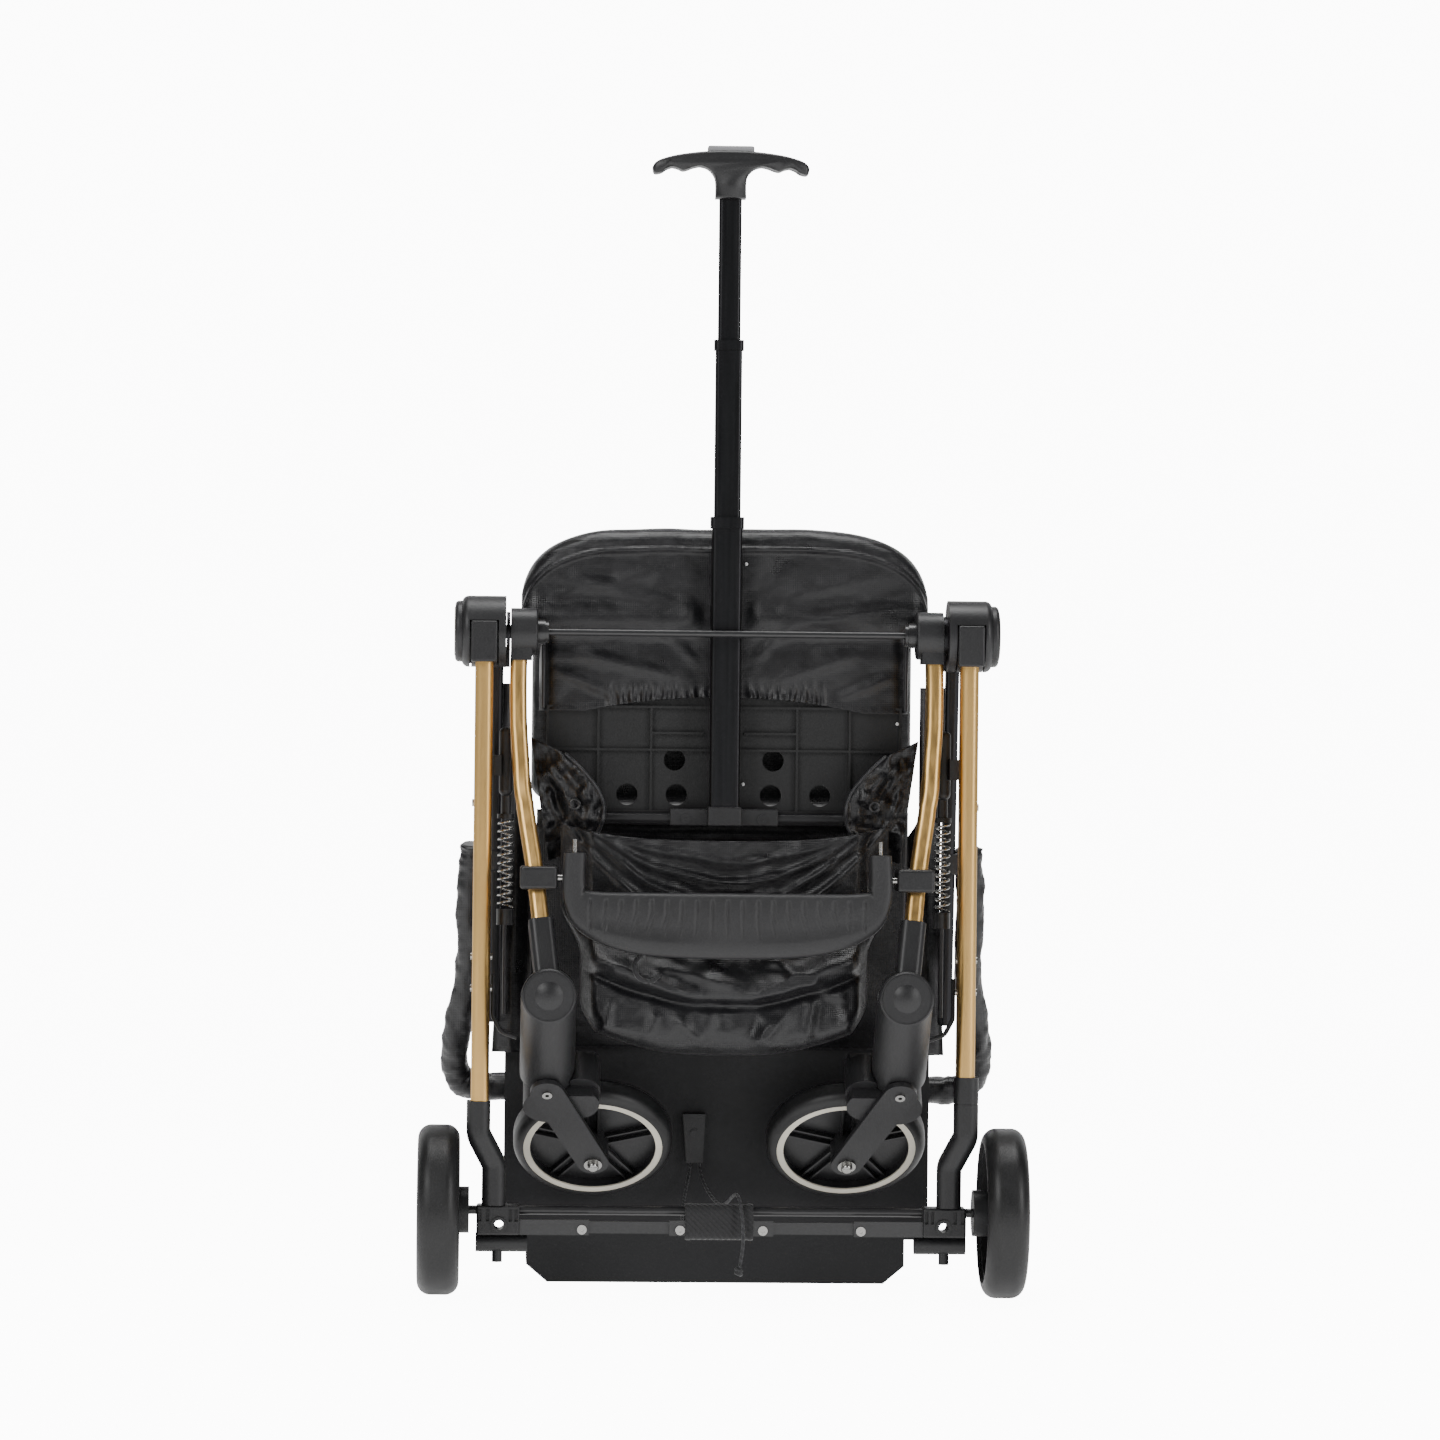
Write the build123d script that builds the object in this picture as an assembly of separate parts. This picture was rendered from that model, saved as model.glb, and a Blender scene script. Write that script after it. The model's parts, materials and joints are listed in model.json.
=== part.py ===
"""Travel pet stroller, folded and standing on its rear wheels, with its pull handle drawn out.

Millimetres. The parts are drawn with y = 0 on the main hinge axis and are moved by ROW_Y when they are
saved, so that the origin is the middle of the footprint on the floor. X runs across the stroller, -Y is
the side that carries the swivel wheels and +Z is up. A left part has negative x.
"""
import math
import os

from build123d import *

# Driving dimensions
ROW_Y = -45.0            # y of the main hinge axis in the saved frame
HUB_Z = 585.0            # height of the main hinge axis
PIN_R = 6.0              # hinge pin of the hubs
RUNNING = 0.05           # radial clearance of every running fit
REAR_R = 75.0            # rear wheel radius
REAR_W = 37.0            # rear tyre width
REAR_X = 249.5           # rear wheel centre from the middle plane
AXLE_R = 4.0             # rear and front axle radius
LEG_X = 214.0            # rear leg centre from the middle plane
LEG_Y = -10.0            # rear leg centre
LEG_FOOT = {"left": 172.0, "right": 196.0}
SWIVEL_TILT = 46.7       # swivel axis from the vertical, lower end to the back
CAP = Vector(-155, -85, 269)     # centre of the left swivel housing's round cap
FRONT_R = 71.0           # front wheel radius
FRONT_W = 26.0           # front tyre width
TRAIL = 42.0             # wheel centre beside the swivel axis
DROP = 195.0             # cap centre to wheel centre along the swivel axis
HOUSING_LENGTH = 104.0   # cap centre to the lower rim of the swivel housing
TUBE_Y = 24.0            # centre of the telescopic tubes
OUTER_TUBE = (26.6, 19.0)
MID_TUBE = (23.5, 15.6)
UPPER_TUBE = (20.0, 12.2)
OUTER_TOP = 689.0
MID_TOP = 846.0
UPPER_TOP = 971.0
GRIP_TOP = 1014.0
LOCK_X = 193.5           # spring and lock rod from the middle plane
LOCK_Y = 13.0
SPRING_TOP = 420.0
SPRING_FOOT = 340.0
BUMPER_PIVOT = (-64.0, 370.0)    # y and z of the bumper bar's hinge
PLATE_HALF = 158.0       # half width of the seat plate
SEAT_FOOT = 415.0        # lower edge of the seat plate
BACK_HINGE = (84.0, 428.0)       # y and z of the backrest's hinge
BACK_PIN_R = 2.0
FOOT_HALF = 171.0        # half width of the base board's foot
SCREW_R = 4.2

SWIVEL = Vector(0, math.sin(math.radians(SWIVEL_TILT)), -math.cos(math.radians(SWIVEL_TILT)))
FACE = Vector(0, -math.cos(math.radians(SWIVEL_TILT)), -math.sin(math.radians(SWIVEL_TILT)))
FORK_PLANE = Plane(origin=CAP, x_dir=(1, 0, 0), z_dir=FACE)


def block(x0, x1, y0, y1, z0, z1, edge=0.0):
    """Box between two corners, with all its edges rounded by edge."""
    solid = Pos((x0 + x1) / 2, (y0 + y1) / 2, (z0 + z1) / 2) * Box(x1 - x0, y1 - y0, z1 - z0)
    return fillet(solid.edges(), edge) if edge else solid


def rod(start, end, radius):
    """Round bar between two points."""
    start, end = Vector(start), Vector(end)
    plane = Plane(origin=start, z_dir=end - start)
    return plane.location * extrude(Circle(radius), (end - start).length)


def disc(radius, x0, x1, y, z):
    """Round bar along X."""
    return rod((x0, y, z), (x1, y, z), radius)


def slab(origin, outline, thickness, normal=(0, -1, 0), x_dir=(1, 0, 0)):
    """Flat outline raised by thickness from a plane through origin."""
    place = Plane(origin=origin, x_dir=x_dir, z_dir=normal)
    return place.location * extrude(outline, thickness, dir=(0, 0, 1))


def ring(outer, inner, height, base=0.0):
    """Flat ring about Z that starts at base."""
    return Pos(0, 0, base) * extrude(Circle(outer) - Circle(inner), height)


def sweep_along(path, section):
    """Section swept along a path from its start, with its X axis kept near the row's."""
    start = Plane(origin=path @ 0, x_dir=(1, 0, 0), z_dir=path % 0)
    return sweep(start.location * section, path=path)


def other_side(solid):
    """The same part on the right side."""
    return solid.mirror(Plane.YZ)


def save(name, *solids):
    """One STEP file per node, moved into the row's frame."""
    moved = []
    for item in solids:
        moved.extend((Pos(0, ROW_Y, 0) * item).solids())
    export_step(Compound(children=moved) if len(moved) > 1 else moved[0], f"parts/{name}.step")


def save_pair(name, left):
    save(f"{name}_left", left)
    save(f"{name}_right", other_side(left))


# Rear frame

def rear_leg(foot):
    """Anodised rear leg tube of a flat oval section."""
    section = RectangleRounded(16, 26, 6) - RectangleRounded(12.8, 22.8, 4.4)
    return Pos(-LEG_X, LEG_Y, foot) * extrude(section, 572 - foot)


def hub_housing():
    """Round left housing with the socket of the rear leg."""
    drum = disc(31.5, -195, -234, 0, HUB_Z)
    drum = fillet(drum.faces().sort_by(Axis.X)[0].edges(), 6)
    socket = block(-226, -202.5, -33, 14, 558, 594, 2)
    groove = block(-227, -225.6, -40, 14, 540, 594.8) + block(-202.9, -201.5, -40, 14, 540, 594.8)
    groove = groove + block(-226, -202, -40, -28, 593.6, 594.8)
    body = drum - groove + socket
    leg = Pos(-LEG_X, LEG_Y, 500) * extrude(RectangleRounded(16, 26, 6), 72)
    cap_seat = disc(27, -231, -240, 0, HUB_Z)
    return body - leg - cap_seat - disc(PIN_R, -190, -232, 0, HUB_Z)


def hub_cap():
    """Domed left cap with the groove of its trim ring, and the ring."""
    cap = disc(27, -231, -240, 0, HUB_Z)
    cap = fillet(cap.faces().sort_by(Axis.X)[0].edges(), 3.5)
    trim = disc(21.5, -238.8, -240.6, 0, HUB_Z) - disc(18.5, -238.8, -240.6, 0, HUB_Z)
    return cap - trim, trim


def rear_elbow(foot, sleeve_top):
    """Moulded left elbow that takes the leg's line inward to the axle."""
    path = FilletPolyline((-215, LEG_Y, foot), (-215, LEG_Y, 143), (-201, -4, 116), (-201, -4, 80), radius=14)
    elbow = sweep_along(path, RectangleRounded(21, 28, 8))
    if sleeve_top > foot:
        elbow = elbow + Pos(-215, LEG_Y, foot + 0.8) * extrude(RectangleRounded(21, 28, 8), sleeve_top - foot - 0.8)
        elbow = elbow + Pos(-215, LEG_Y, foot) * extrude(RectangleRounded(19.6, 26.6, 7), 1)
    return elbow


def axle_bracket():
    """Ribbed left moulding that holds the axle, with its cross hole, lower sleeve and peg."""
    body = block(-216, -178, -15, 12, 54, 80, 2)
    for x in (-213, -206, -186, -181):
        body = body - block(x - 1.5, x + 1.5, -16, -12, 66, 77)
    body = body + rod((-196, -17, 63), (-196, -12, 63), 7)
    body = body + disc(8.5, -216.5, -171, 2, 46.5) + rod((-197.5, 2, 44), (-197.5, 2, 29), 4.5)
    body = body - rod((-196, -20, 63), (-196, 20, 63), 4.2)
    return body - disc(AXLE_R, -230, -170, 0, REAR_R)


def tie_bar():
    """Flat bar across the axle brackets with its overlapping plates."""
    bar = block(-178, 178, -8, -5, 55.5, 66)
    plates = [block(-46, 46, -11, -8, 54, 67.5)]
    for side in (-1, 1):
        ends = sorted((side * 117, side * 178))
        plates.append(block(ends[0], ends[1], -11, -8, 54, 67.5))
    return [bar] + plates


def frame_screws():
    """Screw heads of the tie bar and of both rear legs."""
    heads = []
    for x in (-123, -36.5, 36.5, 123):
        head = rod((x, -11, 59), (x, -13, 59), SCREW_R) - rod((x, -12, 59), (x, -14, 59), 1.8)
        heads.append(head)
    for side in (-1, 1):
        for z in (271, 299, 434):
            heads.append(disc(3.2, side * (LEG_X + 8), side * (LEG_X + 9.6), -8, z))
            if z < 400:
                heads.append(disc(3.2, side * (LEG_X - 8), side * (LEG_X - 9.6), -8, z))
    return heads


def base_board():
    """Stiff base of the cabin: a hollow foot on the floor and an upright panel."""
    slope = FOOT_HALF - 19
    outline = Polygon((-FOOT_HALF, 16), (-slope, 0), (slope, 0), (FOOT_HALF, 16), (FOOT_HALF, 40), (-FOOT_HALF, 40),
                      align=None)
    foot = slab((0, 195, 0), outline, 77)
    foot = foot - block(-150, 150, 126, 187, 6, 34)
    panel = block(-192, 192, 118, 124, 40, 215)
    panel = fillet(panel.edges().filter_by(Axis.Y), 5)
    return foot + panel


def lock_shroud():
    """Drop-shaped left anchor of the lock spring, held by the rear leg."""
    body = block(-200, -188, 5, 21, 440, 501, 5)
    neck = rod((-LOCK_X, LOCK_Y, SPRING_TOP + 4), (-LOCK_X, LOCK_Y, 446), 4.5)
    seat = rod((-LOCK_X, LOCK_Y, SPRING_TOP), (-LOCK_X, LOCK_Y, SPRING_TOP + 4), 7.8)
    lug = block(-206, -198, -6, 14, 458, 476)
    return body + neck + seat + lug


def lock_spring():
    """Left coil spring between the shroud and the lock rod's end cap."""
    wire = 1.1
    height = SPRING_TOP - SPRING_FOOT - 2 * wire - 0.4
    coil = Helix(pitch=height / 11, height=height, radius=6.3)
    start = Plane(origin=coil @ 0, z_dir=coil % 0)
    spring = sweep(start.location * Circle(wire), path=coil, is_frenet=True)
    return Pos(-LOCK_X, LOCK_Y, SPRING_FOOT + wire + 0.2) * spring


def lock_rod():
    """Left lock rod with its end cap."""
    cap = rod((-LOCK_X, LOCK_Y, 326), (-LOCK_X, LOCK_Y, SPRING_FOOT), 7.6)
    return cap + rod((-LOCK_X, LOCK_Y, 247), (-LOCK_X, LOCK_Y, 327), 1.8)


def lock_cable():
    """Short left cable that bows from the rear leg to the middle."""
    path = FilletPolyline((-203.5, 1, 282), (-203.5, 1, 246), (-196, 1, 232), (-182, 1, 227), radius=10)
    return sweep_along(path, Circle(2))


# Rear and front wheels, drawn about Z with the outer face up

def tyre(outer, inner, width, shoulder):
    """Solid tyre with rounded shoulders."""
    section = Pos((outer + inner) / 2, 0) * Rectangle(outer - inner, width)
    section = fillet(section.vertices().group_by(Axis.X)[-1], shoulder)
    return revolve(Plane.XZ.location * section, Axis.Z)


def rim(outer, width, hub_radius, hub_low, hub_high):
    """Wheel rim: barrel, web, five pairs of ribs and a hub bored for the axle."""
    barrel = ring(outer, outer - 5, width, -width / 2)
    web = extrude(Circle(outer - 4), 2, both=True)
    hub = Pos(0, 0, hub_low) * extrude(Circle(hub_radius), hub_high - hub_low)
    body = barrel + web + hub
    reach = outer - 4 - hub_radius
    for number in range(5):
        for offset in (-4.5, 4.5):
            rib = Pos(hub_radius + reach / 2 - 1, offset, 0) * Box(reach + 2, 1.8, width * 0.62)
            body = body + Rot(0, 0, 72 * number + 18) * rib
    return body - extrude(Circle(AXLE_R + RUNNING), 60, both=True)


def rear_wheel():
    """Left rear tyre and rim in place: the outer face looks to -X."""
    place = Plane(origin=(-REAR_X, 0, REAR_R), x_dir=(0, 1, 0), z_dir=(-1, 0, 0)).location
    outer_tyre = tyre(REAR_R, 62, REAR_W, 12)
    wheel_rim = rim(62, 30, 20.5, -27, 13)
    return place * outer_tyre, place * wheel_rim


def front_wheel():
    """Left front tyre, rim and trim rings in place."""
    place = FORK_PLANE.location * Pos(TRAIL, -DROP, 0)
    outer_tyre = tyre(FRONT_R, 62, FRONT_W, 9)
    wheel_rim = rim(62, 22, 14, -24, 24)
    trims = [place * ring(62, 56, 1.4, 11), place * ring(62, 56, 1.4, -12.4)]
    return place * outer_tyre, place * wheel_rim, trims


# Swivel fork, in FORK_PLANE: x to the wheel's trail, -y down the swivel axis, z to the outer face

def fork():
    """Left fork: crown, two arms and the swivel stem."""
    arm = make_hull((Pos(0, -99) * Circle(15)).edges() + (Pos(TRAIL, -DROP) * Circle(14)).edges())
    crown = make_hull((Pos(0, -121) * Circle(21)).edges() + (Pos(27, -118) * Circle(19)).edges())
    body = Pos(0, 0, -26) * extrude(crown, 52)
    body = body - Pos(0, -60, 0) * Box(90, 2 * (106 - 60), 70)
    lobe = make_hull((Pos(30, -112) * Circle(17)).edges() + (Pos(27, -124) * Circle(17)).edges())
    body = body + Pos(0, 0, -15) * extrude(lobe, 30)
    body = body - Pos(TRAIL, -DROP, -17.5) * extrude(Circle(FRONT_R + 3), 35)
    for low in (-30, 25.2):
        body = body + Pos(0, 0, low) * extrude(arm, 4.8)
    housing_space = Plane(origin=(0, 0, 0), z_dir=(0, -1, 0)).location * extrude(Circle(25), 106)
    body = body - housing_space
    stem = Plane(origin=(0, -60, 0), z_dir=(0, -1, 0)).location * extrude(Circle(5), 50)
    body = body + stem - Pos(TRAIL, -DROP, -40) * extrude(Circle(AXLE_R), 80)
    return FORK_PLANE.location * body


def caster_bolts():
    """Left axle bolt with its domed head and nut, and the fork's cover screw."""
    bolt = Pos(TRAIL, -DROP, -30) * extrude(Circle(AXLE_R), 60)
    head = Pos(TRAIL, -DROP, 30) * extrude(Circle(8), 2) + Pos(TRAIL, -DROP, 30) * extrude(Circle(5.2), 7)
    head = fillet(head.faces().sort_by(Axis.Z)[-1].edges(), 3)
    nut = Pos(TRAIL, -DROP, -36) * extrude(RegularPolygon(7.5, 6), 6)
    screw = Pos(0, -99, 30) * extrude(Circle(4.4) - Circle(1.8), 1.8)
    return FORK_PLANE.location * (bolt + head + nut), FORK_PLANE.location * screw


# Front frame

def front_leg_path():
    return Spline((-183, 0, 575), (-183, -9, 500), (-177, -25, 432), (-168.5, -43, 379), (-162.5, -64, 331),
                  (-158.7, -76, 301))


def front_leg(wall=1.6):
    """Curved left front leg tube."""
    outer = sweep_along(front_leg_path(), RectangleRounded(15, 24, 5))
    if not wall:
        return outer
    return outer - sweep_along(front_leg_path(), RectangleRounded(15 - 2 * wall, 24 - 2 * wall, 3.4))


def front_collar():
    """Left collar that turns on the hinge pin and holds the front leg."""
    drum = disc(21, -190.8, -167, 0, HUB_Z)
    drum = fillet(drum.faces().sort_by(Axis.X)[-1].edges(), 2)
    socket = block(-190.8, -172, -15, 15, 560, 585)
    bored = drum + socket - disc(PIN_R + RUNNING, -200, -173.5, 0, HUB_Z)
    return bored - front_leg(0)


def cross_rod_fasteners():
    """Nuts and washers at the ends of the cross rod."""
    parts = []
    for side in (-1, 1):
        nut = disc(11, side * 160.5, side * 167, 0, HUB_Z) - disc(3, side * 150, side * 170, 0, HUB_Z)
        washer = disc(9.5, side * 157.5, side * 160.5, 0, HUB_Z) - disc(3, side * 150, side * 170, 0, HUB_Z)
        parts.extend([nut, washer])
    return parts


def leg_clamp():
    """Left clamp round the front leg, bored for the bumper bar's pin."""
    body = block(-181, -148, -71, -30, 360, 380, 3)
    body = body - disc(3 + RUNNING, -157, -140, *BUMPER_PIVOT)
    return body - front_leg(0)


def swivel_housing():
    """Left swivel housing with its neck and round cap."""
    ball = Pos(*CAP) * Sphere(23.5)
    cap = rod(CAP, CAP + Vector(0, -20, 0), 23.5)
    cap = chamfer(cap.faces().sort_by(Axis.Y)[0].edges(), 1.2)
    groove = rod(CAP + Vector(0, -19.2, 0), CAP + Vector(0, -21, 0), 21.6)
    groove = groove - rod(CAP + Vector(0, -19.2, 0), CAP + Vector(0, -21, 0), 20.8)
    barrel_plane = Plane(origin=CAP, z_dir=SWIVEL)
    barrel = barrel_plane.location * extrude(Circle(24.3), HOUSING_LENGTH)
    neck_top = Vector(-162.5, -64, 331)
    neck_plane = Plane(origin=neck_top, x_dir=(1, 0, 0), z_dir=CAP - neck_top)
    neck = neck_plane.location * extrude(RectangleRounded(22, 32, 6), 58)
    stem_bore = barrel_plane.location * Pos(0, 0, 59) * extrude(Circle(5 + RUNNING), 60)
    return ball + cap + barrel + neck - groove - stem_bore - front_leg(0)


def footwell():
    """Plain body of the fabric footwell between the front legs."""
    outline = Polygon((-122, 402), (122, 402), (122, 250), (90, 222), (40, 213), (-40, 213), (-90, 222),
                      (-122, 250), align=None)
    return slab((0, 8, 0), outline, 58)


# Bumper bar

def bumper_bar():
    """Padded bar with two upright arms, a ribbed grip face and the holes of its pins."""
    corners = [(143, 390), (143, 338), (100, 306), (0, 300), (-100, 306), (-143, 338), (-143, 390),
               (-123.5, 390), (-123.5, 358), (123.5, 358), (123.5, 390)]
    radii = {(143, 338): 40, (100, 306): 60, (0, 300): 400, (-100, 306): 60, (-143, 338): 40,
             (-123.5, 358): 12, (123.5, 358): 12}
    outline = Polygon(*corners, align=None)
    for (x, z), radius in radii.items():
        corner = outline.vertices().sort_by_distance((x, z, 0))[0]
        outline = fillet(corner, radius)
    bar = slab((0, -54, 0), outline, 24)
    bar = fillet(bar.faces().sort_by(Axis.Y)[0].edges(), 5)
    for number in range(-9, 10):
        bar = bar - block(number * 13.3 - 0.6, number * 13.3 + 0.6, -80, -77, 326, 354)
    for side in (-1, 1):
        bar = bar - disc(3, side * 129, side * 150, *BUMPER_PIVOT)
    return bar


def bumper_pins():
    """Hinge pins and upright pins of the bumper bar's arms."""
    pins = []
    for side in (-1, 1):
        pins.append(disc(3, side * 129, side * 156, *BUMPER_PIVOT))
        pins.append(rod((side * 133.3, -66, 390), (side * 133.3, -66, 404), 2))
    return pins


# Seat and telescopic handle

def seat_plate():
    """Ribbed seat plate with its round openings; the ribs are on the underside, towards -Y."""
    plate = block(-PLATE_HALF, PLATE_HALF, 44, 47.5, SEAT_FOOT, 668)
    plate = fillet(plate.edges().filter_by(Axis.Y).group_by(Axis.Z)[-1], 24)
    for x in (-86, -42, 42, 86):
        plate = plate - rod((x, 40, 442), (x, 50, 442), 9.5)
    for x in (-44, 44):
        plate = plate - rod((x, 40, 473), (x, 50, 473), 9.5)
    ribs = []
    for z in (427, 482, 520):
        ribs.append(block(-PLATE_HALF, PLATE_HALF, 39.5, 44, z - 1, z + 1))
    for side in (-1, 1):
        short = sorted((side * 18, side * 65))
        ribs.append(block(short[0], short[1], 39.5, 44, 496, 498))
        for x in (65, 112, PLATE_HALF - 1):
            ribs.append(block(side * x - 1, side * x + 1, 39.5, 44, SEAT_FOOT, 521))
    for rib in ribs:
        plate = plate + rib
    return plate


def seat_pad():
    """Plain body of the seat cover that wraps over the front edge of the plate."""
    upper = Line((-183, 606), (-181, 640)) + ThreePointArc((-181, 640), (-170, 657), (-150, 664))
    upper = upper + ThreePointArc((-150, 664), (0, 680.5), (150, 664))
    upper = upper + ThreePointArc((150, 664), (170, 657), (181, 640)) + Line((181, 640), (183, 606))
    lower = Line((183, 606), (165, 590)) + Line((165, 590), (164, 516)) + Line((164, 516), (-164, 516))
    lower = lower + Line((-164, 516), (-165, 590)) + Line((-165, 590), (-183, 606))
    pad = slab((0, 82, 0), make_face(upper + lower), 46.4)
    return pad - block(-158.4, 158.4, 39.1, 47.9, 500, 668.4)


def seat_cross():
    """Cross tube at the foot of the seat plate, the telescopic tube's bracket and the backrest's pin."""
    tube = disc(5, -PLATE_HALF, PLATE_HALF, 33, 421)
    body = block(-15, 15, 12, 39.4, 415, 432, 1.5)
    for side in (-1, 1):
        ends = sorted((side * 14, side * 48))
        body = body + block(ends[0], ends[1], 25, 39.4, 415, 430, 1)
    body = body - tube
    heads = []
    for x in (-34, 34):
        head = rod((x, 25, 421), (x, 23, 421), SCREW_R) - rod((x, 24, 421), (x, 22, 421), 1.8)
        heads.append(head)
    y, z = BACK_HINGE
    pin = disc(BACK_PIN_R, -160, 160, y, z)
    for side in (-1, 1):
        ends = sorted((side * 148, side * 154))
        pin = pin + block(ends[0], ends[1], 47.5, y, z - 1.5, z + 3)
    return [tube, body, pin] + heads


def oval_tube(size, wall, low, high):
    """Hollow telescopic tube of a rounded rectangular section."""
    width, depth = size
    section = RectangleRounded(width, depth, 3.2) - RectangleRounded(width - 2 * wall, depth - 2 * wall, 1.8)
    return Pos(0, TUBE_Y, low) * extrude(section, high - low)


def collar(size, inner, low, high):
    """Moulded collar at a tube's mouth, open for the tube that slides in it."""
    section = RectangleRounded(size[0], size[1], 4) - RectangleRounded(inner[0] + 0.6, inner[1] + 0.6, 3.2)
    return Pos(0, TUBE_Y, low) * extrude(section, high - low)


def trolley_outer():
    body = oval_tube(OUTER_TUBE, 1.2, 432, OUTER_TOP - 8)
    return body + collar((29.6, 22), MID_TUBE, OUTER_TOP - 10, OUTER_TOP)


def trolley_mid():
    body = oval_tube(MID_TUBE, 1.2, 600, MID_TOP - 7)
    top = collar((26.2, 18.2), UPPER_TUBE, MID_TOP - 9, MID_TOP)
    return body + top


def trolley_upper():
    return oval_tube(UPPER_TUBE, 1.4, 780, UPPER_TOP)


def grip():
    """T grip with two finger scallops on each side and the pocket of its button."""
    right = ThreePointArc((0, GRIP_TOP), (36, 1011.5), (65, 1004))
    right = right + ThreePointArc((65, 1004), (69.7, 999), (66.5, 992.5))
    right = right + ThreePointArc((66.5, 992.5), (54, 999.5), (42, 995.5))
    right = right + ThreePointArc((42, 995.5), (28, 1001), (14, 992))
    right = right + Line((14, 992), (13.6, UPPER_TOP))
    half = right + Line((13.6, UPPER_TOP), (0, UPPER_TOP)) + Line((0, UPPER_TOP), (0, GRIP_TOP))
    side = slab((0, TUBE_Y + 12, 0), make_face(half), 24)
    body = side + side.mirror(Plane.YZ)
    return body - block(-21, 21, TUBE_Y - 6.8, TUBE_Y + 6.8, 1005.5, 1020)


def grip_button():
    return block(-20.7, 20.7, TUBE_Y - 6.5, TUBE_Y + 6.5, 1009, 1018.4, 2)


def backrest():
    """Plain body of the backrest, folded flat behind the seat."""
    body = block(-172, 172, 84.5, 126, 428, 660)
    body = fillet(body.edges().filter_by(Axis.Y), 26)
    body = fillet(body.faces().sort_by(Axis.Y)[-1].edges(), 10)
    return body - disc(BACK_PIN_R + 0.5, -180, 180, *BACK_HINGE)


def cabin_panel():
    """Plain body of the slack fabric wall between the seat and the base board."""
    outline = Polygon((58, 404), (74, 404), (117, 226), (117, 216.5), (104, 216.5), align=None)
    return slab((-168, 0, 0), outline, 336, normal=(1, 0, 0), x_dir=(0, 1, 0))


# Push handle

def handle_tube():
    """Left handle tube with the plate that turns on the hinge pin."""
    place = Plane(origin=(-194.6, 0, HUB_Z), x_dir=(0, 1, 0), z_dir=(1, 0, 0))
    outline = make_hull(Circle(17.5).edges() + (Pos(39, -22) * Circle(9)).edges())
    plate = place.location * extrude(outline, 3.2)
    boss = disc(9, -209, -191.4, 39, HUB_Z - 22)
    tube_plane = Plane(origin=(-203, 39, HUB_Z - 22), x_dir=(1, 0, 0), z_dir=(0, 49, -325))
    tube = tube_plane.location * extrude(RectangleRounded(12, 20, 5), 329)
    return plate + boss + tube - disc(PIN_R + RUNNING, -200, -190, 0, HUB_Z)


def handle_bow():
    """Padded bow of the push handle, joined to both tubes by clamps."""
    arm = [(-221, 66, 395), (-226, 80, 345), (-222, 98, 290), (-236, 128, 228), (-238, 160, 174)]
    route = arm + [(-x, y, z) for x, y, z in reversed(arm)]
    path = FilletPolyline(*route, radius=[60, 60, 40, 34, 34, 40, 60, 60])
    start = Plane(origin=path @ 0, z_dir=path % 0)
    bow = sweep(start.location * Circle(12.5), path=path)
    for tube, side in ((handle_tube(), -1), (other_side(handle_tube()), 1)):
        ends = sorted((side * 200, side * 222))
        bow = bow + block(ends[0], ends[1], 54, 78, 372, 392, 3)
        bow = bow - tube
    return bow


def handle_knob():
    """Knurled knob on the right arm of the bow."""
    knob = rod((231, 128, 197), (231, 116, 197), 6.5)
    for number in range(18):
        angle = math.radians(20 * number)
        x, z = 231 + 6.7 * math.cos(angle), 197 + 6.7 * math.sin(angle)
        knob = knob - rod((x, 128.5, z), (x, 115.5, z), 0.5)
    return knob


# Pull clip and cord at the middle of the axle

def pull_clip():
    """Moulded clip on the base board with the eye that the cord runs through."""
    outline = Polygon((-31, 153), (-10.5, 153), (-12.5, 109), (-27.5, 109), align=None)
    clip = slab((0, 118, 0), outline, 10)
    clip = clip - block(-25.9, -14.1, 109, 115.5, 108, 121)
    screw = rod((-20.5, 108, 136), (-20.5, 106.6, 136), 3.6)
    return [clip, screw]


CORD = [(-31, 9, 66), (-33, 24, 60), (-33, 46, 59), (-32, 67, 65), (-30.5, 84, 75), (-28, 96, 86.5),
        (-25.8, 104, 95.5), (-24.3, 109, 103), (-24, 111.6, 109.8), (-23.6, 112.2, 116.6),
        (-16.4, 112.2, 116.6), (-16, 111.6, 109.8), (-15.2, 108.8, 102.5), (-13, 103, 94.5), (-9, 93, 86),
        (-4, 78, 79), (1, 60, 75.5), (6, 40, 78), (10, 20, 86), (13, 2, 90.5), (15.5, -13, 88),
        (17.5, -20, 76), (19, -21, 58), (18.5, -19.8, 40), (15, -19.5, 23)]
CORD_R = 1.5


def pull_cord():
    """Cord from the webbing tab through the clip's eye and over the tab again to its knot."""
    points = [Vector(*point) for point in CORD]
    radii = []
    for before, corner, after in zip(points, points[1:], points[2:]):
        turn = math.radians((corner - before).get_angle(after - corner))
        shorter = min((corner - before).length, (after - corner).length)
        radii.append(0.45 * shorter / math.tan(turn / 2))
    print("cord radii", [round(radius, 1) for radius in radii])
    path = FilletPolyline(*points, radius=radii)
    start = Plane(origin=path @ 0, z_dir=path % 0)
    cord = sweep(start.location * Circle(CORD_R), path=path)
    print("cord length", round(path.length, 1), "volume ratio",
          round(cord.volume / (math.pi * CORD_R ** 2 * path.length), 4))
    return cord


def webbing_tab():
    """Webbing sleeve wrapped round the axle and the tie bar."""
    outer = block(-32, 28, -13.2, 6.4, 50, 82, 2)
    return outer - block(-40, 40, -11.7, 5, 51.5, 80.5)


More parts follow.
